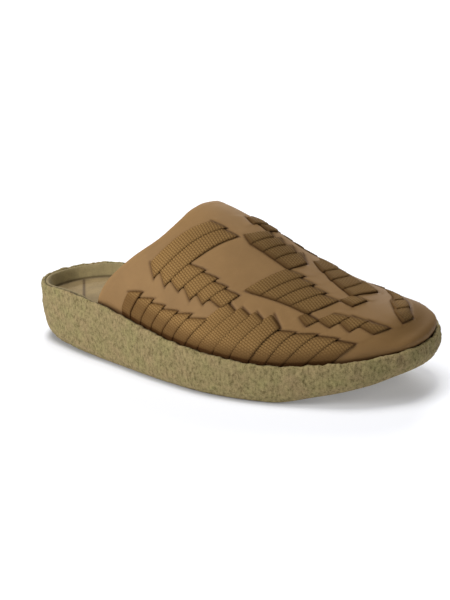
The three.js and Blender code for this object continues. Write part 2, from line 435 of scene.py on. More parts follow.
def fill_rows(rings, spacing):
    """Adds rings between the given ones, about spacing apart."""
    out = [rings[0]]
    for a, b in zip(rings, rings[1:]):
        steps = max(1, int(round(np.linalg.norm(b - a, axis=1).mean() / spacing)))
        out += [mix(a, b, k / steps) for k in range(1, steps + 1)]
    return np.array(out)


def bridge(ring, columns):
    """Points across a ring, between each lateral point and its medial partner."""
    lateral = ring[: HALF + 1]
    medial = np.concatenate([ring[:1], ring[: HALF - 1 : -1]])
    steps = np.linspace(0, 1, columns + 1)[:, None, None]
    return mix(lateral[None], medial[None], steps).transpose(1, 0, 2)


def skin(name, rings, columns, top=None, attributes=None):
    """A closed piece from its lowest ring outwards and over to its last. columns are the
    quads across its bottom and top; top moves the points across the last ring."""
    bottom = bridge(rings[0], columns)
    cover = bridge(rings[-1], columns)
    if top is not None:
        cover = top(cover)
    points = np.concatenate([each.reshape(-1, 3) for each in (rings, bottom, cover)])
    first = rings.size // 3
    second = first + bottom.size // 3
    across = grid_faces(HALF + 1, columns + 1)
    faces = grid_faces(len(rings), rings.shape[1], wrap_columns=True)
    faces += numbered_from(first, across) + flipped(numbered_from(second, across))
    attributes = with_zeros(attributes or {}, len(points) - first)
    return make_object(name, points, faces, attributes, merge=True)


def finish_piece(piece, slot, *nodes):
    """The frame's calls for a finished piece."""
    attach(piece, BODY)
    if nodes:
        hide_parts(*nodes)


# ---- Nodes ---------------------------------------------------------------------------


class Socket:
    """A node's output that takes part in Python arithmetic."""

    def __init__(self, nodes, socket):
        self.nodes = nodes
        self.socket = socket

    def math(self, operation, *values):
        return self.nodes.add("ShaderNodeMath", {"operation": operation}, dict(enumerate(values)))

    def __add__(self, other):
        return self.math("ADD", self, other)

    def __sub__(self, other):
        return self.math("SUBTRACT", self, other)

    def __rsub__(self, other):
        return self.math("SUBTRACT", other, self)

    def __mul__(self, other):
        return self.math("MULTIPLY", self, other)

    def __truediv__(self, other):
        return self.math("DIVIDE", self, other)

    def __rtruediv__(self, other):
        return self.math("DIVIDE", other, self)

    def __pow__(self, other):
        return self.math("POWER", self, other)

    __radd__ = __add__
    __rmul__ = __mul__

    def sine(self):
        return self.math("SINE", self)

    def absolute(self):
        return self.math("ABSOLUTE", self)

    def clamped(self):
        return self.nodes.add("ShaderNodeClamp", {}, {"Value": self})


class Nodes:
    """Adds nodes to a shader or geometry tree."""

    def __init__(self, tree):
        self.tree = tree

    def add(self, kind, settings=None, inputs=None, output=0):
        """One node, and the output that is wanted of it, if it has any. settings are set
        first; a ramp's stops are (place, colour) pairs."""
        node = self.tree.nodes.new(kind)
        for name, value in (settings or {}).items():
            if name == "stops":
                self.set_stops(node.color_ramp, value)
            else:
                setattr(node, name, value)
        for name, value in (inputs or {}).items():
            socket = node.inputs[name]
            if isinstance(value, Socket):
                self.tree.links.new(value.socket, socket)
            else:
                socket.default_value = value
        return Socket(self, node.outputs[output]) if node.outputs else None

    @staticmethod
    def set_stops(ramp, stops):
        while len(ramp.elements) < len(stops):
            ramp.elements.new(0.5)
        for element, (place, colour) in zip(ramp.elements, stops):
            element.position = place
            element.color = (*colour, 1)

    def noise(self, vector, size, detail=2.0, roughness=0.5):
        """Noise from 0 to 1 with features about size metres across."""
        inputs = {"Vector": vector, "Scale": 1 / size, "Detail": detail, "Roughness": roughness}
        return self.add("ShaderNodeTexNoise", {}, inputs)

    def blend(self, factor, a, b, blend_type="MIX"):
        """A mix of two colours."""
        settings = {"data_type": "RGBA", "blend_type": blend_type, "clamp_factor": True}
        return self.add("ShaderNodeMix", settings, {0: factor, 6: a, 7: b}, output=2)

    def ramp(self, value, *stops):
        return self.add("ShaderNodeValToRGB", {"stops": stops}, {"Fac": value})

    def attribute(self, name):
        """A float attribute, in a material."""
        return self.add("ShaderNodeAttribute", {"attribute_name": name}, {}, output=2)

    def named(self, name):
        """A float attribute, in a geometry tree."""
        settings = {"data_type": "FLOAT"}
        return self.add("GeometryNodeInputNamedAttribute", settings, {"Name": name})

    def object_place(self):
        return self.add("ShaderNodeTexCoord", {}, {}, output=3)

    def stretched(self, vector, factors):
        """A vector multiplied by three factors."""
        return self.add("ShaderNodeVectorMath", {"operation": "MULTIPLY"}, {0: vector, 1: factors})

    def bump(self, height, distance, strength):
        inputs = {"Height": height, "Distance": distance, "Strength": strength}
        return self.add("ShaderNodeBump", {}, inputs)


def linear(colour):
    """Scene-linear colour from a display colour with parts from 0 to 1."""
    c = np.array(colour[:3], float)
    return np.where(c <= 0.04045, c / 12.92, ((c + 0.055) / 1.055) ** 2.4)


def opaque(colour):
    """A colour with its alpha."""
    return (*colour, 1.0)


def new_material(name, build, fixed=None):
    """A material whose colour, roughness and normal come from build(nodes)."""
    material = bpy.data.materials.new(name)
    material.use_nodes = True
    nodes = Nodes(material.node_tree)
    shader = material.node_tree.nodes["Principled BSDF"]
    for label, value in (fixed or {}).items():
        shader.inputs[label].default_value = value
    for label, value in build(nodes).items():
        material.node_tree.links.new(value.socket, shader.inputs[label])
    return material


def push_tree(name, values, push_of):
    """A geometry tree that moves points outwards by push_of(nodes, given) and sets their
    material. It has an input for each of the named values: numbers, and the material."""
    tree = bpy.data.node_groups.new(name, "GeometryNodeTree")
    tree.interface.new_socket("Geometry", in_out="OUTPUT", socket_type="NodeSocketGeometry")
    tree.interface.new_socket("Geometry", in_out="INPUT", socket_type="NodeSocketGeometry")
    for label, value in values.items():
        kind = "NodeSocketMaterial" if label == "Material" else "NodeSocketFloat"
        socket = tree.interface.new_socket(label, in_out="INPUT", socket_type=kind)
        socket.default_value = value
    nodes = Nodes(tree)
    group = nodes.add("NodeGroupInput").socket.node
    given = {s.name: Socket(nodes, s) for s in group.outputs if s.name}
    inputs = {0: nodes.add("GeometryNodeInputNormal"), "Scale": push_of(nodes, given)}
    offset = nodes.add("ShaderNodeVectorMath", {"operation": "SCALE"}, inputs)
    inputs = {"Geometry": given["Geometry"], "Offset": offset}
    moved = nodes.add("GeometryNodeSetPosition", {}, inputs)
    real = nodes.add("GeometryNodeRealizeInstances", {}, {"Geometry": moved})
    inputs = {"Geometry": real, "Material": given["Material"]}
    painted = nodes.add("GeometryNodeSetMaterial", {}, inputs)
    nodes.add("NodeGroupOutput", {}, {"Geometry": painted})
    return tree


def apply_tree(piece, tree, values):
    """Runs a geometry tree on a piece and keeps the result as its plain mesh."""
    modifier = piece.modifiers.new(tree.name, "NODES")
    modifier.node_group = tree
    for item in tree.interface.items_tree:
        if item.item_type == "SOCKET" and item.in_out == "INPUT" and item.name in values:
            modifier[item.identifier] = values[item.name]
    evaluated = piece.evaluated_get(bpy.context.evaluated_depsgraph_get())
    result = bpy.data.meshes.new_from_object(evaluated)
    piece.modifiers.clear()
    before = piece.data
    piece.data = result
    bpy.data.meshes.remove(before)
    result.name = piece.name


# ---- Settings ------------------------------------------------------------------------


def length_setting(name, description, default):
    return FloatProperty(
        name=name, description=description, default=default, subtype="DISTANCE", precision=5
    )


def colour_setting(name, description, default):
    return FloatVectorProperty(
        name=name, description=description, default=default, subtype="COLOR_GAMMA", size=3
    )


class CrepeSettings(bpy.types.PropertyGroup):
    light: colour_setting("Light", "Colour of the crepe's raised grains", (0.585, 0.524, 0.374))
    dark: colour_setting("Dark", "Colour in the crepe's pits", (0.37, 0.325, 0.20))
    pebble: length_setting("Pebble", "Distance between the crepe's grains", 0.0026)
    pebble_depth: length_setting("Pebble depth", "Height of the grains", 0.00048)
    wave: length_setting("Wave", "Length of the rim's slow waves", 0.0055)
    wave_depth: length_setting("Wave depth", "Height of the rim's slow waves", 0.001)


class LiningSettings(bpy.types.PropertyGroup):
    band: colour_setting("Band", "Colour of the lining inside the rim", (0.575, 0.515, 0.355))
    insole: colour_setting("Insole", "Colour of the insole", (0.52, 0.442, 0.292))
    seam: length_setting("Seam", "Width of the insole's seam", 0.0014)


class LeatherSettings(bpy.types.PropertyGroup):
    colour: colour_setting("Leather", "Colour of the leather", (0.53, 0.409, 0.255))
    # Painted shade: the colour painted inside the slits and along the rim.
    slit: colour_setting("Slit", "Colour inside the slits", (0.33, 0.225, 0.125))
    bulge: length_setting("Bulge", "Rise of the leather over a hidden strap", 0.0004)
    groove: length_setting("Groove", "Depth of the slits", 0.0005)
    turned_edge: length_setting("Turned edge", "Width of the collar's turned edge", 0.005)


class WebbingSettings(bpy.types.PropertyGroup):
    rib: colour_setting("Rib", "Colour on top of the webbing's ribs", (0.57, 0.443, 0.262))
    gap: colour_setting("Gap", "Colour between the ribs", (0.38, 0.268, 0.13))
    pitch: length_setting("Rib pitch", "Distance between two ribs", 0.00175)
    rib_depth: length_setting("Rib depth", "Height of a rib", 0.0004)
    columns: IntProperty(name="Columns", description="Faces across a strap", default=8, min=4)


class StageSettings(bpy.types.PropertyGroup):
    floor: colour_setting("Floor", "Colour of the floor", (0.825, 0.828, 0.84))
    glow: FloatProperty(name="Glow", description="Light the floor gives from below", default=0.37)
    light: FloatProperty(name="Light", description="Strength of all the lights", default=1.31)
    lens: FloatProperty(name="Lens", description="Focal length in mm", default=120.0)


# ---- Outsole -------------------------------------------------------------------------

HEEL_TAPER = (10, 80)
TOE_LIP = (240, 268)
# The colour of the painted shadow along the rim's inner edge.
LIP_SHADOW_COLOUR = (0.035, 0.022, 0.01)
# What the crepe's colour is multiplied by in its warmer and in its greener patches.
WARM_TINT = (1.05, 0.98, 0.99)
GREEN_TINT = (0.93, 1.02, 0.86)
TEXTURE_STEP = 0.85
SOLE_COLUMNS = 12
# The height above the tread over which the grain comes in, and that below the rim over
# which the slow waves do.
GRAIN_RISE = (0.4, 2.5)
WAVE_RISE = (-9, -1)
LOW_WAVE = 0.35
NOISE_GAIN = 2.5
# Painted shadow on the rim's inner edge: the height from the rim, the start on each side,
# how much of it shows before and after the toe's lip, and how far in it begins.
LIP_RISE = (-4, -2)
LIP_FROM_MEDIAL = (60, 80)
LIP_FROM_LATERAL = (4, 20)
LIP_SHADE = (0.8, 0.1)
LIP_WIDTH = 0.6
# On the lateral side the painted shadow begins nearer the wall, as far as the ball.
LIP_NEARER = 1.5
LIP_BALL = (200, 245)


def drawn_in(inset, taper):
    """An inset that grows by taper behind the heel's start."""
    return inset + taper * (1 - smooth_step(*HEEL_TAPER, FINE.x))


def crepe_material(settings):
    """Crepe rubber: light grains over dark pits, in patches of two hues, with a painted shadow
    along the rim's inner edge.
    """
    dark, light = linear(settings.dark), linear(settings.light)

    def build(nodes):
        place = nodes.object_place()
        grain = nodes.noise(nodes.stretched(place, (1, 1, 0.6)), settings.pebble * 0.65, 3.0, 0.6)
        fine = nodes.noise(place, settings.pebble / 4, 2.0, 0.6)
        patches = nodes.noise(place, settings.pebble * 4, 2.0, 0.5)
        level = ((grain * 0.6 + fine * 0.4 - 0.5) * 3.9 + 0.55).clamped()
        stops = (0.05, dark), (0.45, mix(dark, light, 0.6)), (0.95, light)
        colour = nodes.ramp(level, *stops)
        tint = nodes.blend((patches - 0.25) * 1.8, opaque(WARM_TINT), opaque(GREEN_TINT))
        colour = nodes.blend(1.0, colour, tint, "MULTIPLY")
        # Painted shadow along the rim's inner edge.
        colour = nodes.blend(nodes.attribute("lip"), colour, opaque(LIP_SHADOW_COLOUR))
        return {
            "Base Color": colour,
            "Roughness": 0.96 - fine * 0.1,
            "Normal": nodes.bump(grain * 0.5 + fine * 0.5, settings.pebble / 5, 0.9),
        }

    return new_material("crepe rubber", build, {"Specular IOR Level": 0.3})


def crepe_push(nodes, given):
    """How far a crepe surface is pushed out: grains, and slow waves where it has them."""
    place = nodes.add("GeometryNodeInputPosition")
    parts = []
    for size, detail, depth, shown in (
        ("Pebble", 2.0, "Pebble depth", "grain"),
        ("Wave", 1.0, "Wave depth", "wave"),
    ):
        inputs = {"Vector": place, "Scale": 1 / given[size], "Detail": detail}
        noise = nodes.add("ShaderNodeTexNoise", {}, inputs)
        parts.append((noise - 0.5) * NOISE_GAIN * given[depth] * nodes.named(shown))
    grains, waves = parts
    return grains + waves


def inset_of(rings):
    """How far points lie inside the outline."""
    return ((rings[:, :, :2] - FINE.edge) * FINE.inward).sum(-1)


def outsole_rings():
    """The cup's section, from the flat tread over the wall and rim to the floor inside."""
    o = FINE
    floor = o.seat - INSOLE_THICKNESS - FOOTBED_THICKNESS - 2 * GAP
    edge_drop = smooth_step(*HEEL_TAPER, o.x) * (1 - smooth_step(*TOE_LIP, o.x))
    section = [
        o.ring(drawn_in(8, 4), o.tread),
        o.ring(drawn_in(5.5, 3.7), o.tread + 0.3),
        o.ring(drawn_in(3.2, 3.3), o.tread + 1.6),
        o.ring(drawn_in(0.9, 2.6), o.tread + 6),
        o.ring(drawn_in(WALL_INSET, 1.2), (o.tread + o.rim) / 2),
        o.ring(drawn_in(WALL_INSET, 1.3), o.rim - 5),
        o.ring(drawn_in(0.7, 0.8), o.rim - 1),
        o.ring(drawn_in(1.6, 0.4), o.rim + 0.1),
        o.ring(RIM_WALL - 1, o.rim),
        o.ring(RIM_WALL, o.rim - mix(0.5, 1.2, edge_drop)),
        o.ring(RIM_WALL, floor),
    ]
    return smooth_rows(fill_rows(section, TEXTURE_STEP), 2)


class MULE_OT_outsole(bpy.types.Operator):
    """Make the crepe cup outsole"""

    bl_idname = "mule.outsole"
    bl_label = "Outsole"

    def execute(self, context):
        settings = context.scene.mule_crepe
        rings = outsole_rings()
        height = rings[:, :, 2]
        grain = smooth_step(*GRAIN_RISE, height - FINE.tread)
        near_rim = smooth_step(*WAVE_RISE, height - FINE.rim)
        shape = {
            "grain": grain,
            "wave": mix(LOW_WAVE, 1, near_rim) * grain,
            # Where the painted shadow falls on the rim's inner edge.
            "lip": self.painted_lip_shadow(rings),
        }
        piece = skin("outsole_crepe", rings, SOLE_COLUMNS, attributes=shape)
        values = {
            "Pebble": settings.pebble,
            "Pebble depth": settings.pebble_depth,
            "Wave": settings.wave,
            "Wave depth": settings.wave_depth,
            "Material": crepe_material(settings),
        }
        apply_tree(piece, push_tree("crepe texture", values, crepe_push), values)
        finish_piece(piece, "crepe", "outsole")
        return {"FINISHED"}

    def painted_lip_shadow(self, rings):
        """Where shadow is painted on the rim's inner edge, where it turns down inside, in the
        shadow of what it holds.
        """
        x = FINE.x
        high = smooth_step(*LIP_RISE, rings[:, :, 2] - FINE.rim)
        medial, lateral = smooth_step(*LIP_FROM_MEDIAL, x), smooth_step(*LIP_FROM_LATERAL, x)
        lined = np.where(FINE.medial, medial, lateral) * mix(*LIP_SHADE, smooth_step(*TOE_LIP, x))
        nearer = np.where(FINE.medial, 0, LIP_NEARER * (1 - smooth_step(*LIP_BALL, x)))
        inset = inset_of(rings) + nearer
        return lined * high * smooth_step(RIM_WALL - LIP_WIDTH, RIM_WALL, inset)


# ---- Footbed and insole --------------------------------------------------------------

BAND_FOOT_INSET = 9
BAND_DROP = 0.3
BAND_LINE = 0.7
BAND_CLOUD = 0.005
# The band's visible face, from the tray's outside in, and its top edge, from its top down.
BAND_FACE = (1.5, 2.5)
BAND_TOP = (-1.2, -0.4)
# In front of here the tray steps back inside the upper and ends low under it.
STEP_BACK = (48, 60)
TUCKED_HEIGHT = 3
INSOLE_EDGE = BAND_FOOT_INSET + GAP
INSOLE_DISH = 1.05
INSOLE_LINE = 1.1
INSOLE_COLUMNS = 90
TRAY_COLUMNS = 4
TRAY_STEP = 0.6
INSOLE_STEP = 1.0
SEAM_FROM = np.array([14.0, 26.0])
SEAM_TO = np.array([42.0, -16.0])
SEAM_DEPTH = 0.25
SEAM_SPREAD = 0.7
# How strongly the "seam" attribute darkens a seam and the line where the insole meets the band,
# and paints shade on the band's top edge.
SEAM_SHADE = 0.95
TOP_SHADE = 0.3
SEAM_TONE = (0.3, 0.24, 0.18)


def from_seam(flat):
    """The distance of places seen from above from the line of the insole's seam."""
    line = (SEAM_TO - SEAM_FROM) / np.linalg.norm(SEAM_TO - SEAM_FROM)
    offset = flat - SEAM_FROM
    return offset[..., 0] * line[1] - offset[..., 1] * line[0]


def nap_material(name, colour, cloud=0.012, with_seam=False):
    """Brushed lining: a short nap with soft clouds, darker in its seams, with painted shade along
    the band's top edge.
    """

    def build(nodes):
        place = nodes.object_place()
        clouds = nodes.noise(place, cloud, 3.0, 0.6)
        nap = nodes.noise(place, 0.0009, 3.0, 0.7)
        base = linear(colour)
        level = (clouds * 0.6 + nap * 0.4 - 0.5) * 2.2 + 0.5
        tone = nodes.ramp(level, (0.0, base * 0.72), (1.0, np.minimum(base * 1.25, 1)))
        if with_seam:
            tone = nodes.blend(nodes.attribute("seam"), tone, opaque(base * SEAM_TONE))
        return {
            "Base Color": tone,
            "Roughness": 0.95 - nap * 0.1,
            "Normal": nodes.bump(nap, 0.0003, 0.7),
        }

    return new_material(name, build, {"Sheen Weight": 0.04, "Sheen Roughness": 0.5})


class MULE_OT_footbed(bpy.types.Operator):
    """Make the lined tray inside the cup and the insole that lies in it"""

    bl_idname = "mule.footbed"
    bl_label = "Footbed and insole"

    def execute(self, context):
        settings = context.scene.mule_lining
        self.make_tray(settings)
        self.make_insole(settings)
        return {"FINISHED"}

    def make_tray(self, settings):
        """The tray's wall shows as a band inside the rim, up to the upper."""
        o = FINE
        forward = smooth_step(*STEP_BACK, o.x)
        outer = RIM_WALL + GAP + (UPPER_WALL + GAP) * forward
        top = mix(o.rim - BAND_DROP, o.seat + TUCKED_HEIGHT, forward)
        tray_floor = o.seat - INSOLE_THICKNESS - GAP
        section = [
            o.ring(outer, tray_floor - FOOTBED_THICKNESS),
            o.ring(outer, top - mix(0.4, 0.8, forward)),
            o.ring(outer + 0.4, top - 0.1),
            o.ring(outer + 1.2, top - 0.1),
            o.ring(outer + 1.9, top - 0.8),
            o.ring(BAND_FOOT_INSET, tray_floor + 1.5),
            o.ring(BAND_FOOT_INSET, tray_floor),
        ]
        rings = smooth_rows(fill_rows(section, TRAY_STEP), 1)
        height = rings[:, :, 2]
        inner = smooth_step(*BAND_FACE, inset_of(rings) - outer)
        seam = SEAM_SHADE * inner * bell(height - o.seat, BAND_LINE)
        # Painted shade along the band's top edge, where it meets the rim.
        seam = np.maximum(seam, TOP_SHADE * smooth_step(*BAND_TOP, height - top))
        piece = skin("footbed_lining", rings, TRAY_COLUMNS, attributes={"seam": seam})
        piece.data.materials.append(nap_material("lining nap", settings.band, BAND_CLOUD, True))
        finish_piece(piece, "lining", "footbed")

    def make_insole(self, settings):
        """A pad with a soft edge and a pressed seam across its heel."""
        o = FINE
        section = [
            o.ring(INSOLE_EDGE, o.seat - INSOLE_THICKNESS),
            o.ring(INSOLE_EDGE, o.seat - 0.9),
            o.ring(INSOLE_EDGE + 0.3, o.seat - 0.25),
            o.ring(INSOLE_EDGE + 1.1, o.seat),
            o.ring(INSOLE_EDGE + 7, o.seat - INSOLE_DISH),
        ]
        rings = fill_rows(section, INSOLE_STEP)

        def press_seam(cover):
            pressed = bell(from_seam(cover[..., :2]), settings.seam / MM / 2)
            pressed[:, [0, -1]] = 0
            cover = cover.copy()
            cover[..., 2] -= SEAM_DEPTH * pressed
            return cover

        piece = skin("insole_pad", rings, INSOLE_COLUMNS, top=press_seam)
        self.mark_seam(piece, settings)
        piece.data.materials.append(nap_material("insole nap", settings.insole, with_seam=True))
        finish_piece(piece, "insole", "insole")

    def mark_seam(self, piece, settings):
        """Stores where the insole's seam runs and where its edge meets the lining."""
        places = np.zeros(len(piece.data.vertices) * 3)
        piece.data.vertices.foreach_get("co", places)
        flat = places.reshape(-1, 3)[:, :2] / MM - SHIFT[:2]
        seam = SEAM_SHADE * bell(from_seam(flat), settings.seam / MM * SEAM_SPREAD)
        border = FINE.ring(INSOLE_EDGE, 0)[:, :2]
        gaps = [np.linalg.norm(border - place, axis=1).min() for place in flat]
        add_attribute(piece.data, "seam", np.maximum(seam, bell(np.array(gaps), INSOLE_LINE)))


# ---- Webbing layout ------------------------------------------------------------------

# Where each lane of webbing begins and ends along the upper: at the rim, 30, 60 and 80
# degrees up from it, and on the lane's middle line, whose own angle is the last column.
# Lane n lies between rows n - 1 and n.
LANES = table(
    "rim third two_thirds high middle middle_angle",
    (0.066, 0.047, 0.048, 0.090, 0.130, 97),
    (0.091, 0.083, 0.090, 0.132, 0.170, 97),
    (0.118, 0.118, 0.133, 0.171, 0.200, 97),
    (0.145, 0.152, 0.177, 0.197, 0.228, 97),
    (0.172, 0.188, 0.213, 0.230, 0.260, 97),
    (0.200, 0.218, 0.248, 0.264, 0.295, 97),
    (0.232, 0.256, 0.283, 0.313, 0.338, 98),
    (0.262, 0.288, 0.320, 0.359, 0.390, 100),
    (0.298, 0.322, 0.360, 0.404, 0.432, 100),
    (0.338, 0.357, 0.405, 0.458, 0.482, 100),
    (0.383, 0.403, 0.463, 0.507, 0.550, 100),
    (0.422, 0.445, 0.513, 0.553, 0.590, 105),
    (0.463, 0.500, 0.562, 0.596, 0.668, 112),
    (0.520, 0.570, 0.633, 0.680, 0.755, 112),
    (0.595, 0.648, 0.753, 0.781, 0.802, 112),
)
LANE_ANGLES = {"rim": 0, "third": 30, "two_thirds": 60, "high": 80}
# A lane's edges are known down to this angle, and a foot in the sole lies at SOLE.
LOWEST_ANGLE = -10
LANE_COUNT = len(LANES["rim"]) - 1
SOLE = -5.0

# The stretches of webbing that lie outside the leather on each side. Each begins at its
# foot and ends at its head, in degrees up from the lateral rim, given for the strap's
# rear edge and its front edge. The medial side is the same, folded over the middle line.
STRETCHES = table(
    "lane foot_rear foot_front head_rear head_front",
    # out of the sole, rear group
    (1, SOLE, SOLE, 13, 16.6),
    (2, SOLE, SOLE, 12.5, 16.8),
    (3, SOLE, SOLE, 13.7, 16.6),
    (4, SOLE, SOLE, 13.8, 17.3),
    (5, SOLE, SOLE, 15, 19.7),
    (6, SOLE, SOLE, 16, 21),
    (7, SOLE, SOLE, 35, 32),
    (8, SOLE, SOLE, 36, 33),
    (9, SOLE, SOLE, 37, 33),
    (10, SOLE, SOLE, 39.5, 32),
    # out of the sole, front group
    (11, SOLE, SOLE, 29.5, 32),
    (12, SOLE, SOLE, 30, 33.5),
    (13, SOLE, SOLE, 31.5, 31.5),
    (14, SOLE, SOLE, 29.5, 26),
    # the long pair and the short four beside the instep
    (1, 31, 25, 69.5, 70.5),
    (2, 30, 24.5, 69, 69.5),
    (3, 29, 26, 41, 43),
    (4, 30, 25, 41, 43),
    (5, 30, 26.5, 40, 42),
    (6, 31, 30, 40, 41.5),
    # beside the ridge, over the instep
    (3, 72.5, 70, 88.5, 86),
    (4, 70, 71, 90, 87),
    (5, 71, 71.5, 91, 87),
    (6, 71.5, 71.5, 91, 84),
    # over the ball
    (7, 45, 47, 71.5, 73.5),
    (8, 47, 48.5, 70.5, 71.5),
    (9, 48.5, 49, 69, 69.5),
    (10, 49, 48, 67, 67.5),
    # in front of them
    (11, 43.5, 38, 48.5, 45.5),
    (12, 45.5, 41, 55.5, 56),
    (13, 48.5, 40, 58, 56),
    (14, 48.5, 39.5, 57.5, 51.5),
    (11, 68.5, 67, 79, 79),
)

# Stretches that lie over the middle line, with both ends given as they are.
CROSSINGS = table(
    "lane foot_rear foot_front head_rear head_front",
    (1, 88.5, 85, 104.5, 107),
    (2, 88.5, 87.3, 104.5, 105.5),
    (7, 89, 84.5, 112, 108),
    (8, 86, 81.5, 108, 101),
    (9, 82.5, 79, 104, 98),
    (10, 79.5, 76, 107, 98),
    (12, 107, 92, 124, 107),
    (13, 92, 80, 111, 96),
    (14, 80, 65, 97, 85),
)


def lane_edge(row, angle):
    """Where a row of LANES lies along the upper, at an angle on either side."""
    angle = np.asarray(angle, float)
    middle = LANES["middle_angle"][row]
    angle = np.where(angle > middle, (180 - angle) * middle / (180 - middle), angle)
    angle = np.clip(angle, LOWEST_ANGLE, middle)
    angles = np.array([*LANE_ANGLES.values(), middle])
    places = np.array([LANES[name][row] for name in (*LANE_ANGLES, "middle")])
    slopes = np.gradient(places, angles)
    slopes[-1] = 0
    return hermite(angles, places, slopes, angle)


def folded_over(lane, angle):
    """The same place on the medial side of the lane's middle line."""
    middle = LANES["middle_angle"][lane]
    return 180 - angle * (180 - middle) / middle


class Stretch:
    """A visible stretch of webbing. Its foot and its head are angles at the strap's rear and
    front edge, and each of them may come out of the sole."""

    def __init__(self, lane, foot, head, foot_in_sole=False, head_in_sole=False):
        self.lane = int(lane)
        self.foot = np.array(foot)
        self.head = np.array(head)
        self.in_sole = foot_in_sole or head_in_sole
        # Each end with the sign of the direction into the stretch.
        self.ends = ((self.foot, 1, foot_in_sole), (self.head, -1, head_in_sole))

    def folded(self):
        """The same stretch on the medial side."""
        foot, head = (folded_over(self.lane, end) for end in (self.head, self.foot))
        return Stretch(self.lane, foot, head, head_in_sole=self.in_sole)


def all_stretches():
    """Every visible stretch on both sides."""
    found = []
    for lane, *ends in zip(*STRETCHES.values()):
        lateral = Stretch(lane, ends[:2], ends[2:], foot_in_sole=ends[0] == SOLE)
        found += [lateral, lateral.folded()]
    for lane, *ends in zip(*CROSSINGS.values()):
        found.append(Stretch(lane, ends[:2], ends[2:]))
    return found


def inside_end(end, sign, u, angle, size, width):
    """How many millimetres places lie inside an end of a stretch. size is the length of a
    degree there and width the strap's."""
    slant = (end[1] - end[0]) * size / width
    return sign * (angle - mix(*end, u)) * size / np.hypot(1, slant)


# ---- Upper ---------------------------------------------------------------------------

# Quads along and across the leather and down its skirt; its inside, and the lining, have
# one along for each COARSE of them.
LEATHER_ROWS = 276
LEATHER_COLUMNS = 240
SKIRT_COLUMNS = 6
LINING_SKIRT = 2
COARSE = 6
# Rows are spaced by the lengths of the upper's face at these angles.
DENSE_ROWS = 1200
SPACED_AT = (20, 90, 160)
# The lining begins this far from the leather's edge, and the leather thins for it.
LINING_FROM = 6.5
LINING_STEP = 1.5
LINING_DEPTH = 1.5
LINING_GAP = 0.05
UPPER_LENGTH = 240
# The leather tucks in over the last height above the rim, and swells out round the toe.
RIM_TUCK = 0.4
TUCK_HEIGHT = 4.5
TOE_FULLNESS = 2.4
TOE_SWELL = (0.7, 0.9)
TOE_BELLY = 4
# The degrees over which the height of the rim goes from one side's to the other's.
OVER_TOP = (50, 130)
UNDER_STRAP = 0.35
TURNED_RISE = 0.2
TURNED_FADE = 0.6
EDGE_TURNS = 6
# The line of painted shade at the rim: its width, and its strength before and after the toe's end.
RIM_LINE = 1.1
RIM_SHADE = (0.85, 0.5)
TOE_END = (0.85, 0.97)
# Strength and width of the worn lines at the turned edge's seam and at its fold.
WORN_SEAM = (0.1, 0.8)
WORN_FOLD = (0.15, 1.6)
# Painted shade: the leather is darker towards the toe, most of all on top, and a little
# less so beside the collar.
DULL_TONE = (0.84, 0.82, 0.78)
BRIGHT_TONE = (1.14, 1.15, 1.17)
TOE_SHADE_TONE = (0.66, 0.62, 0.5)
TOE_SHADE_STRENGTH = 0.5
TOE_SHADE_ALONG = (0.3, 0.85)
TOE_SHADE_UP = (20, 75)
TOE_SHADE_GAIN = (0.9, 1.35)
SHADE_PAST_COLLAR = 0.14
SHADE_START_ALONG = (0, 0.2)

# Beside a stretch of webbing: how many degrees beyond its ends the leather still feels it,
# and how far it stands inside an end that is in the sole.
RELIEF_REACH = 14
FAR_INSIDE = 50.0
SMALLEST_DEGREE = 0.05
# Over these shares of the strap's width outside its edges the leather gives way to the
# strap, and rises over it where it is hidden.
STRAP_EDGE = (-0.1, 0.12)
BULGE_EDGE = (-0.4, 0)
# The same along the strap, in millimetres inside its end and beyond it.
STRAP_END = (-0.4, 0.8)
BULGE_END = (0.3, 1.8)
HIDDEN_FADE = 5.0
# Where a slit's groove is cut and its shade painted: across the strap at each edge, and its width
# along it.
SLIT_REAR = (-0.22, -0.04)
SLIT_FRONT = (-0.16, 0.0)
SLIT_WIDTH = 0.6


def above_rim(points, angle):
    """Height of points of the upper above the rim beside them."""
    return points[..., 2] - rim_height(points[..., 0], np.asarray(angle) >= 90)


def even_along(start, rows):
    """Values of along from start to the toe, about evenly spaced on the leather."""
    dense = np.linspace(start, 1, DENSE_ROWS)
    run = sum(run_length(surface(dense, angle)) for angle in SPACED_AT)
    return np.interp(np.linspace(0, run[-1], rows), run, dense)


def wall_grid(along, columns, skirt_columns):
    """Points, outward directions, along, angle and depth below the rim over a whole wall."""
    angle = np.concatenate(
        [np.zeros(skirt_columns), np.linspace(0, 180, columns + 1), np.full(skirt_columns, 180.0)]
    )
    fall = np.linspace(1, 0, skirt_columns + 1)[:-1] * SKIRT_DEPTH
    drop = np.concatenate([fall, np.zeros(columns + 1), fall[::-1]])
    b = np.broadcast_to(angle, (len(along), len(angle)))
    cut = collar_cut(angle)
    a = cut + (1 - cut) * along[:, None]
    points = surface(a, b)
    normals = surface_normal(a, b)
    at_rim = (b <= 0) | (b >= 180)
    normals[at_rim, 2] = 0
    points[-1] = (*TOE_TIP, lateral_rim(TOE_TIP[0]))
    normals[-1] = (1, 0, 0)
    normals /= np.linalg.norm(normals, axis=-1, keepdims=True)
    points[..., 2] -= drop
    return points, normals, a, b, np.broadcast_to(drop, a.shape)


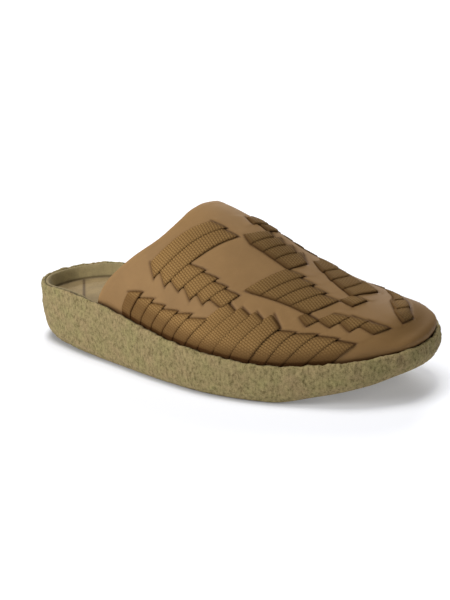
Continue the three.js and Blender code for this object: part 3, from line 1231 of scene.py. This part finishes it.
def webbing_relief(along, angle, settings):
    """How far the leather lies out over webbing it hides, and where its slits are, where shade is
    painted in them.
    """
    lift = np.zeros(along.shape)
    slit = np.zeros(along.shape)
    scale = np.maximum(degree_length(along, angle), SMALLEST_DEGREE)
    for stretch in all_stretches():
        lane, foot, head = stretch.lane, stretch.foot, stretch.head
        near = (angle > foot.min() - RELIEF_REACH) & (angle < head.max() + RELIEF_REACH)
        a, b, size = along[near], angle[near], scale[near]
        rear, front = lane_edge(lane - 1, b), lane_edge(lane, b)
        u = (a - rear) / (front - rear)
        across = smooth_step(*STRAP_EDGE, u) * smooth_step(*STRAP_EDGE, 1 - u)
        around = smooth_step(*BULGE_EDGE, u) * smooth_step(*BULGE_EDGE, 1 - u)
        middle = (foot.mean() + head.mean()) / 2
        edges = surface(np.array([lane_edge(lane - 1, middle), lane_edge(lane, middle)]), middle)
        width = np.linalg.norm(edges[1] - edges[0])
        inside = np.full(len(b), FAR_INSIDE)
        for end, sign, in_sole in stretch.ends:
            if not in_sole:
                inside = np.minimum(inside, inside_end(end, sign, u, b, size, width))
        under = smooth_step(*STRAP_END, inside)
        beyond = smooth_step(*BULGE_END, -inside) * bell(inside, HIDDEN_FADE)
        moved = around * settings.bulge / MM * beyond - across * UNDER_STRAP * under
        lift[near] = np.where(np.abs(moved) > np.abs(lift[near]), moved, lift[near])
        groove = smooth_step(*SLIT_REAR, u) * smooth_step(*SLIT_FRONT, 1 - u)
        slit[near] = np.maximum(slit[near], groove * bell(inside, SLIT_WIDTH))
    return lift - settings.groove / MM * slit, slit


def stitch_faces(fine, coarse, step):
    """Faces that join a fine row of points to one with a point for each step of them."""
    faces = []
    for k in range(len(coarse) - 1):
        passed = fine[k * step : (k + 1) * step + 1]
        faces.append([coarse[k], coarse[k + 1], *passed[::-1]])
    return faces


def shell_of(name, outer, inner, attributes, step):
    """A closed wall between an outer grid and an inner one that has a point for each step
    of its rows and columns, with a half-round edge at the first row."""
    rows, columns = outer.shape[:2]
    across = read_rows(np.arange(columns) / step, np.arange(inner.shape[1]), inner[0])
    middle = (outer[0] + across) / 2
    outward = outer[0] - middle
    radius = np.linalg.norm(outward, axis=1, keepdims=True)
    square = outward / radius
    back = outer[0] - outer[2]
    back -= (back * square).sum(1, keepdims=True) * square
    back *= radius / np.linalg.norm(back, axis=1, keepdims=True)
    turns = np.arange(1, EDGE_TURNS) * math.pi / EDGE_TURNS
    roll = np.array([middle + outward * math.cos(t) + back * math.sin(t) for t in turns[::-1]])
    wide = len(roll)
    points = np.concatenate([roll.reshape(-1, 3), outer.reshape(-1, 3), inner.reshape(-1, 3)])
    first = (rows + wide) * columns
    number = np.arange(first).reshape(-1, columns)
    inside = np.arange(first, len(points)).reshape(inner.shape[:2])
    faces = flipped(grid_faces(rows + wide, columns))
    faces += numbered_from(first, grid_faces(*inner.shape[:2]))
    faces += stitch_faces(number[0], inside[0], step)
    for edge in (0, -1):
        joined = stitch_faces(number[wide:, edge], inside[:, edge], step)
        faces += flipped(joined) if edge == 0 else joined
        faces.append([inside[0, edge], *number[: wide + 1, edge]])
    rolled = {
        label: np.concatenate([np.repeat(values[:1], wide, axis=0), values])
        for label, values in attributes.items()
    }
    columns_of = with_zeros(rolled, inner.size // 3)
    piece = make_object(name, points, faces, columns_of, merge=True)
    edit_mesh(piece.data, face_outwards)
    return piece


def leather_material(settings):
    """Matte leather: fine grain in soft clouds, with painted shade in the slits, along the rim and
    towards the toe.
    """

    def build(nodes):
        place = nodes.object_place()
        cells = nodes.add(
            "ShaderNodeTexVoronoi", {"feature": "SMOOTH_F1"}, {"Vector": place, "Scale": 1100.0}
        )
        fine = nodes.noise(place, 0.0007, 3.0, 0.6)
        clouds = nodes.noise(place, 0.018, 3.0, 0.55)
        base = linear(settings.colour)
        level = (clouds * 0.7 + fine * 0.3 - 0.5) * 1.6 + 0.5
        colour = nodes.ramp(level, (0.0, base * DULL_TONE), (1.0, base * BRIGHT_TONE))
        for label, shown in (
            ("worn", np.minimum(base * 1.5, 1)),
            # Painted shade towards the toe.
            ("deep", base * TOE_SHADE_TONE),
            # Painted shade in the slits and along the rim.
            ("slit", linear(settings.slit)),
        ):
            colour = nodes.blend(nodes.attribute(label), colour, opaque(shown))
        return {
            "Base Color": colour,
            "Roughness": 0.66 + (fine - 0.5) * 0.16 + (clouds - 0.5) * 0.1,
            "Normal": nodes.bump(cells * 0.6 + fine * 0.4, 0.00012, 0.45),
        }

    return new_material("matte leather", build, {"Specular IOR Level": 0.2})


class MULE_OT_upper(bpy.types.Operator):
    """Make the leather upper with its slits, and the lining inside it"""

    bl_idname = "mule.upper"
    bl_label = "Upper"

    def execute(self, context):
        self.make_leather(context.scene.mule_leather)
        self.make_lining(context.scene.mule_lining)
        return {"FINISHED"}

    def make_leather(self, settings):
        """The leather, out over hidden webbing and in under what shows."""
        along = even_along(0, LEATHER_ROWS + 1)
        points, normals, a, b, drop = wall_grid(along, LEATHER_COLUMNS, SKIRT_COLUMNS)
        from_edge = run_length(points)
        turned = settings.turned_edge / MM
        rim = mix(
            lateral_rim(points[..., 0]), medial_rim(points[..., 0]), smooth_step(*OVER_TOP, b)
        )
        height = np.where(drop > 0, 0, points[..., 2] - rim)

        lift, slit = webbing_relief(a, b, settings)
        past = smooth_step(turned - TURNED_FADE, turned + TURNED_FADE, from_edge)
        lift += TURNED_RISE * (1 - past)
        lift -= RIM_TUCK * (1 - smooth_step(0, TUCK_HEIGHT, height))
        belly = bell(height - TOE_BELLY, TOE_BELLY) * (drop == 0)
        lift += TOE_FULLNESS * smooth_step(*TOE_SWELL, a) * belly
        lift[-1] = -RIM_TUCK
        outer = points + normals * lift[..., None]
        lined = smooth_step(LINING_FROM, LINING_FROM + LINING_STEP, from_edge)
        thin = mix(UPPER_WALL, LINING_DEPTH, lined)
        inner = (points - normals * thin[..., None])[::COARSE, ::COARSE]

        worn = WORN_SEAM[0] * bell(from_edge - turned, WORN_SEAM[1])
        worn += WORN_FOLD[0] * bell(from_edge, WORN_FOLD[1])
        rim_shade = mix(*RIM_SHADE, smooth_step(*TOE_END, a))
        # Painted shade along the rim, where the leather meets the crepe.
        slit = np.maximum(slit, rim_shade * bell(height, RIM_LINE))
        # Painted shade, darker towards the toe and most of all on top.
        upward = smooth_step(*TOE_SHADE_UP, np.where(b > 90, 180 - b, b))
        deep = TOE_SHADE_STRENGTH * smooth_step(*TOE_SHADE_ALONG, a) * mix(*TOE_SHADE_GAIN, upward)
        deep += SHADE_PAST_COLLAR * smooth_step(*SHADE_START_ALONG, a)
        attributes = {"slit": slit, "worn": worn, "deep": deep}
        piece = shell_of("upper_leather", outer, inner, attributes, COARSE)
        piece.data.materials.append(leather_material(settings))
        finish_piece(piece, "leather", "upper")

    def make_lining(self, settings):
        """A thin wall inside the leather, from just inside its edge."""
        along = even_along(LINING_FROM / UPPER_LENGTH, LEATHER_ROWS // COARSE + 1)
        points, normals, *_ = wall_grid(along, LEATHER_COLUMNS // COARSE * 2, LINING_SKIRT)
        outer = points - normals * (LINING_DEPTH + LINING_GAP)
        inner = points - normals * UPPER_WALL
        piece = shell_of("upper_lining", outer, inner, {}, 1)
        piece.data.materials.append(nap_material("upper lining nap", settings.band))
        finish_piece(piece, "lining")


# ---- Webbing -------------------------------------------------------------------------

# How far a strap reaches under the one behind it, as a share of its width.
OVERLAP = 0.15
# Degrees beyond a stretch's ends that are laid out before it is cut, and their spacing.
RUN_OUT = 8
LINE_STEP = 0.25
ROWS_PER_RIB = 6
# Rows narrower than this share of the strap are left out.
THINNEST = 0.04
# How the angles square to a strap's middle are found: rounds, the step to each side in
# degrees, and the least rate, in millimetres a degree, that is divided by.
SQUARING_ROUNDS = 5
PROBE = 0.25
LEAST_RATE = 1e-3
LEAST_SLANT = 1e-6
# The strap's long edges: how much of its width they take, and how far they lie lower.
EDGE_SHARE = 0.05
EDGE_DROP = 0.35
EDGE_RIBS = 0.3
STRAP_THICKNESS = 1.1
REAR_HEIGHT = 0.55
FRONT_HEIGHT = 1.3
CROWN_HEIGHT = 0.25
AT_RIM = (-0.5, 0.1)
# How much more than the others a lane that comes out of the sole stands out in front.
PROUD = {1: 0.5, 7: -0.5, 8: -0.5, 9: -0.2, 10: 0.6}
RIM_FADE = 5.5
# An end runs on under the leather and climbs out of it over a short way.
BURIED = 0.7
CLIMB = 1.8
BURIED_DEPTH = -1.1
# The ribs are flatter and plainer near an end, and near the sole, where the bare part
# begins higher from lane to lane towards the heel. Shade is painted over these parts too.
END_SHADE = 4.5
FOOT_SHADE = (3.2, 12.0)
REAR_SHADE = 1.5
FRONT_GROUP = 7
# Width of the line of painted shadow where a strap meets the rim.
FOOT_SHADOW_LINE = 1.7
WORN_RIBS = 0.8
# Painted shade: how much the webbing darkens for each part of its normal forward and up.
FACING_AHEAD = 0.6
FACING_UP = 0.17
LEAN_OF_RIBS = 0.0018
RIB_ROUNDNESS = 0.7
RIB_MIDDLE = 0.6
WARP_YARNS = 6
# The colour of the painted shade, as a share of the gap's colour.
SHADED_TONE = (0.55, 0.45, 0.35)


def strap_along(lane, u, angle):
    """Where along the upper a strap lies: u is 0 at its rear edge and 1 at its front."""
    rear, front = lane_edge(lane - 1, angle), lane_edge(lane, angle)
    overlap = OVERLAP if lane > 1 else 0
    return mix(rear - overlap * (front - rear), front, u)


def strap_place(lane, u, angle):
    """Points of the upper's face under a strap."""
    return surface(strap_along(lane, u, angle), angle)


def square_angles(lane, u, centres, tangents, guess):
    """The angles at which the strap, at u, crosses the planes square to its centre line."""
    angle = np.array(guess, float)
    for _ in range(SQUARING_ROUNDS):
        ahead = ((strap_place(lane, u, angle) - centres) * tangents).sum(-1)
        step = strap_place(lane, u, angle + PROBE) - strap_place(lane, u, angle - PROBE)
        rate = (step * tangents).sum(-1) / (2 * PROBE)
        angle = angle - ahead / not_zero(rate, LEAST_RATE)
    return angle


def centre_line(stretch, spacing):
    """Marks at even spacing along a strap's middle: distance, place, direction and angle."""
    start, end = stretch.foot.min() - RUN_OUT, stretch.head.max() + RUN_OUT
    angles = np.arange(start, end + 0.01, LINE_STEP)
    line = strap_place(stretch.lane, 0.5, angles)
    run = run_length(line)
    marks = np.arange(0, run[-1], spacing)
    centres = read_rows(marks, run, line)
    tangents = read_rows(marks, run, np.gradient(line, run, axis=0))
    tangents /= np.linalg.norm(tangents, axis=1, keepdims=True)
    return marks, centres, tangents, np.interp(marks, run, angles)


def strap_limits(stretch, centres, tangents, guess):
    """The lowest and the highest u that a strap's slanted ends leave at each mark."""
    lane = stretch.lane
    reach = BURIED / degree_length(strap_along(lane, 0.5, guess), guess)
    edges = [square_angles(lane, u, centres, tangents, guess) for u in (0, 1)]
    low, high = np.zeros(len(guess)), np.ones(len(guess))
    for end, sign, in_sole in stretch.ends:
        out = 0 if in_sole else reach
        rear, front = (sign * (edges[k] - end[k]) + out for k in (0, 1))
        cross = rear / not_zero(rear - front, LEAST_SLANT)
        low = np.where((rear < 0) & (front > 0), np.maximum(low, cross), low)
        high = np.where((rear > 0) & (front < 0), np.minimum(high, cross), high)
        high = np.where((rear <= 0) & (front <= 0), -1, high)
    return low, high


def with_corners(across):
    """Values across a strap's top, with those of its two lower corners after them."""
    return np.concatenate([across, across[:, -1:], across[:, :1]], axis=1)


def strap_mesh(stretch, settings):
    """One stretch of webbing: its points row by row, and its attributes."""
    lane = stretch.lane
    line = centre_line(stretch, settings.pitch / MM / ROWS_PER_RIB)
    low, high = strap_limits(stretch, *line[1:])
    kept = high - low > THINNEST
    low, high = low[kept, None], high[kept, None]
    marks, centres, tangents, guess = (each[kept, None] for each in line)

    flat_part = np.linspace(EDGE_SHARE, 1 - EDGE_SHARE, settings.columns)
    share = np.concatenate([[0], flat_part, [1]])
    u = mix(low, high, share)
    angle = square_angles(lane, u, centres, tangents, np.repeat(guess, len(share), 1))
    along = strap_along(lane, u, angle)
    points = surface(along, angle)
    normals = surface_normal(along, angle)
    size = degree_length(along, angle)
    rise = above_rim(points, angle)

    width = np.linalg.norm(points[:, -1] - points[:, 0], axis=1).max()
    climb = np.ones(u.shape)
    near_end = np.ones(u.shape)
    for end, sign, in_sole in stretch.ends:
        if not in_sole:
            inside = inside_end(end, sign, u, angle, size, width) + BURIED
            climb *= smooth_step(0, CLIMB, inside)
            near_end *= smooth_step(0, END_SHADE, inside)
    near_rim = smooth_step(0, RIM_FADE, rise)
    front_height = FRONT_HEIGHT + (PROUD.get(lane, 0) if stretch.in_sole else 0)
    height = mix(mix(AT_RIM[0], REAR_HEIGHT, near_rim), mix(AT_RIM[1], front_height, near_rim), u)
    height += CROWN_HEIGHT * np.sin(math.pi * u) * near_rim
    height = mix(BURIED_DEPTH, height, climb)
    at_edge = (share == 0) | (share == 1)
    top = points + normals * (height - np.where(at_edge, EDGE_DROP, 0))[..., None]
    lower = points + normals * (height - STRAP_THICKNESS)[..., None]
    ring = np.concatenate([top, lower[:, -1:], lower[:, :1]], axis=1)
    ribs = np.where(at_edge, EDGE_RIBS, 1.0) * np.ones(u.shape)
    bared = smooth_step(*FOOT_SHADE, rise - REAR_SHADE * max(0, FRONT_GROUP - lane))
    return ring, {
        "run": np.repeat(marks * MM, ring.shape[1], 1),
        "across": with_corners(u),
        "top": np.concatenate([ribs, np.zeros((len(u), 2))], axis=1),
        # Where the strap dives under the leather and along its foot at the rim, shade is painted.
        "sunk": with_corners(1 - climb),
        # Painted shade where the strap faces forward and up.
        "facing": with_corners(normals[..., 0] * FACING_AHEAD + normals[..., 2] * FACING_UP),
        "plain": with_corners(np.maximum(1 - near_end, 1 - bared)),
        "foot": with_corners(bell(rise, FOOT_SHADOW_LINE)),
    }


def webbing_material(settings):
    """Ribbed webbing, darker between its ribs, with painted shade at its edges, where it comes
    out, and where it faces forward and up.
    """

    def build(nodes):
        place = nodes.object_place()
        run = nodes.attribute("run")
        across = nodes.attribute("across")
        turn = ((run - across * LEAN_OF_RIBS) * (math.pi / settings.pitch)).sine()
        rib = turn.absolute()
        warp = (across * (2 * math.pi * WARP_YARNS)).sine()
        plain = nodes.attribute("plain")
        yarn = nodes.noise(place, 0.00035, 2.0, 0.6)
        tone = nodes.noise(place, 0.01, 2.0, 0.5)
        gap, top = linear(settings.gap), linear(settings.rib)
        level = rib**0.8 + warp * turn * 0.5 + (yarn - 0.5) * 0.4 + (tone - 0.5) * 0.3
        # Painted shade where the webbing faces forward and up: flatter ribs and a darker colour.
        facing = nodes.attribute("facing").clamped()
        level = level + (0.45 - level) * (plain * 0.85 + facing * 0.9).clamped()
        stops = (0.1, gap), (0.6, mix(gap, top, 0.7)), (1.0, top)
        colour = nodes.ramp(level.clamped(), *stops)
        # Painted shade at the strap's edges, where it dives under the leather, along its foot at
        # the rim and over its plain parts.
        edge = ((across - 0.5).absolute() * 2) ** 12
        sunk = nodes.attribute("sunk") * 0.3 + nodes.attribute("foot") * 0.8
        shade = (edge * 0.35 + sunk + plain * 0.5).clamped()
        colour = nodes.blend(shade, colour, opaque(gap * SHADED_TONE))
        colour = nodes.blend(facing, colour, opaque(gap * 0.1))
        height = rib * 0.6 + yarn * 0.25 + warp * 0.15
        return {
            "Base Color": colour,
            "Roughness": 0.86 - rib * 0.1,
            "Normal": nodes.bump(height, 0.0002, 0.6),
        }

    return new_material("ribbed webbing", build, {"Specular IOR Level": 0.12})


def rib_push(nodes, given):
    """How far the webbing's ribs stand out, along its run."""
    leant = nodes.named("run") - nodes.named("across") * given["Rib lean"]
    rib = (leant * math.pi / given["Rib pitch"]).sine().absolute() ** RIB_ROUNDNESS
    left = 1 - nodes.named("plain") * WORN_RIBS
    return (rib - RIB_MIDDLE) * given["Rib depth"] * nodes.named("top") * left


class MULE_OT_webbing(bpy.types.Operator):
    """Make the webbing that is woven through the upper, a piece for each lane"""

    bl_idname = "mule.webbing"
    bl_label = "Webbing"

    def execute(self, context):
        settings = context.scene.mule_webbing
        values = {
            "Rib pitch": settings.pitch,
            "Rib depth": settings.rib_depth,
            "Rib lean": LEAN_OF_RIBS,
            "Material": webbing_material(settings),
        }
        tree = push_tree("webbing ribs", values, rib_push)
        for lane in range(1, LANE_COUNT + 1):
            piece = self.make_lane(lane, settings)
            apply_tree(piece, tree, values)
            finish_piece(piece, "webbing")
        return {"FINISHED"}

    def make_lane(self, lane, settings):
        """All the stretches of one lane as one mesh."""
        points, faces, attributes = [], [], {}
        first = 0
        for stretch in all_stretches():
            if stretch.lane != lane:
                continue
            ring, columns = strap_mesh(stretch, settings)
            rows, size = ring.shape[:2]
            points.append(ring.reshape(-1, 3))
            ends = [range(size)[::-1], range((rows - 1) * size, rows * size)]
            faces += numbered_from(first, grid_faces(rows, size, wrap_columns=True) + ends)
            for label, values in columns.items():
                attributes.setdefault(label, []).append(values.ravel())
            first += ring.size // 3
        joined = {label: np.concatenate(values) for label, values in attributes.items()}
        return make_object(f"webbing_lane_{lane:02d}", np.concatenate(points), faces, joined)


# ---- Stage ---------------------------------------------------------------------------

CAMERA_PLACE = Vector((0.6094, -1.0393, 0.5152))
CAMERA_TARGET = Vector((0, 0, 0.044))
CAMERA_ROLL = math.radians(-2.05)
# Soft round lights: name, place in metres, size across and power in watts.
LIGHTS = (
    ("side light", (-1.22, -1.58, 0.9), 1.0, 27.5),
    ("top light", (-0.1, -0.1, 2.0), 1.0, 15.5),
    ("back light", (-0.6, 1.6, 1.2), 1.4, 22.5),
)
LIT_POINT = Vector((0, 0, 0.04))
SKY = 0.12
FLOOR_RADIUS = 8000
FLOOR_RINGS = 11
# The colour of the floor's glow, a little blue, which shows in its shadows.
FLOOR_GLOW = (0.975, 0.985, 1.03, 1)
# Painted contact shadow: how far out from the shoe's outline the floor's glow is whole, and where
# it ends.
GLOW_FADE = (2, -7)
# The painted shadow is lighter under the toe, which stands off the floor: this share of the glow
# comes back there, over these x.
TOE_GLOW = 0.7
TOE_SPRING = (175, 235)


def aim(place, target, roll=0.0):
    """The place and turn of a camera or light that looks at a target."""
    ahead = (target - place).normalized()
    right = ahead.cross(Vector((0, 0, 1))).normalized()
    up = right.cross(ahead)
    right, up = (
        right * math.cos(roll) + up * math.sin(roll),
        up * math.cos(roll) - right * math.sin(roll),
    )
    turn = Matrix((right, up, -ahead)).transposed().to_4x4()
    return Matrix.Translation(place) @ turn


class MULE_OT_stage(bpy.types.Operator):
    """Make the floor, the lights and the camera"""

    bl_idname = "mule.stage"
    bl_label = "Stage"

    def execute(self, context):
        scene = context.scene
        settings = scene.mule_stage
        self.make_floor(settings)
        self.make_lights(scene, settings)
        camera_data = bpy.data.cameras.new("camera")
        camera_data.lens = settings.lens
        camera_data.clip_end = 50
        camera = bpy.data.objects.new("camera", camera_data)
        camera.matrix_world = aim(CAMERA_PLACE, CAMERA_TARGET, CAMERA_ROLL)
        scene.collection.objects.link(camera)
        scene.camera = camera
        scene.view_settings.view_transform = "Standard"
        return {"FINISHED"}

    def make_floor(self, settings):
        """A round floor with a faint glow of its own, which fades out under the shoe into a
        painted contact shadow.
        """
        outward = FINE.edge - (LENGTH / 2, 0)
        outward /= np.linalg.norm(outward, axis=1)[:, None]
        count = len(outward)
        far = np.column_stack([outward * FLOOR_RADIUS, np.zeros(count)])
        outsets = np.linspace(*GLOW_FADE, FLOOR_RINGS)
        rings = np.array([far] + [FINE.ring(-outset, 0) for outset in outsets])
        # Painted contact shadow: the glow fades out under the shoe, less so under the toe.
        glow = smooth_step(GLOW_FADE[1], GLOW_FADE[0], outsets)[:, None]
        glow = mix(glow, 1, TOE_GLOW * smooth_step(*TOE_SPRING, FINE.x))
        glow = np.concatenate([np.ones((1, count)), glow])
        faces = grid_faces(len(rings), count, wrap_columns=True)
        faces.append(range(glow.size - count, glow.size))
        floor = make_object("floor", rings.reshape(-1, 3), faces, {"glow": glow.ravel()})

        def build(nodes):
            shown = nodes.blend(nodes.attribute("glow"), opaque((0, 0, 0)), FLOOR_GLOW)
            return {"Emission Color": shown}

        fixed = {
            "Base Color": opaque(linear(settings.floor)),
            "Roughness": 0.9,
            "Specular IOR Level": 0.1,
            "Emission Strength": settings.glow,
        }
        floor.data.materials.append(new_material("floor paper", build, fixed))

    def make_lights(self, scene, settings):
        """Soft round lights and an even sky."""
        world = bpy.data.worlds.new("soft sky")
        world.use_nodes = True
        background = world.node_tree.nodes["Background"]
        background.inputs["Color"].default_value = (1, 1, 1, 1)
        background.inputs["Strength"].default_value = SKY * settings.light
        scene.world = world
        for name, place, size, power in LIGHTS:
            light = bpy.data.lights.new(name, "AREA")
            light.shape = "DISK"
            light.size = size
            light.energy = power * settings.light
            lamp = bpy.data.objects.new(name, light)
            lamp.matrix_world = aim(Vector(place), LIT_POINT)
            scene.collection.objects.link(lamp)


# ---- Add-on --------------------------------------------------------------------------


class MULE_PT_build(bpy.types.Panel):
    """Build the mule piece by piece"""

    bl_label = "Woven house mule"
    bl_idname = "MULE_PT_build"
    bl_space_type = "VIEW_3D"
    bl_region_type = "UI"
    bl_category = "Mule"

    def draw(self, context):
        for operator, settings in PIECES:
            box = self.layout.box()
            box.operator(operator.bl_idname)
            group = getattr(context.scene, settings)
            for name in group.__annotations__:
                box.prop(group, name)


SETTINGS = {
    "mule_crepe": CrepeSettings,
    "mule_lining": LiningSettings,
    "mule_leather": LeatherSettings,
    "mule_webbing": WebbingSettings,
    "mule_stage": StageSettings,
}
PIECES = (
    (MULE_OT_stage, "mule_stage"),
    (MULE_OT_outsole, "mule_crepe"),
    (MULE_OT_footbed, "mule_lining"),
    (MULE_OT_upper, "mule_leather"),
    (MULE_OT_webbing, "mule_webbing"),
)
CLASSES = (*SETTINGS.values(), *(operator for operator, _ in PIECES), MULE_PT_build)


def register():
    for cls in CLASSES:
        bpy.utils.register_class(cls)
    for name, group in SETTINGS.items():
        setattr(bpy.types.Scene, name, PointerProperty(type=group))


def unregister():
    for name in SETTINGS:
        delattr(bpy.types.Scene, name)
    for cls in reversed(CLASSES):
        bpy.utils.unregister_class(cls)


def main():
    register()
    bpy.ops.mule.stage()
    bpy.ops.mule.outsole()
    bpy.ops.mule.footbed()
    bpy.ops.mule.upper()
    bpy.ops.mule.webbing()


if __name__ == "__main__":
    main()
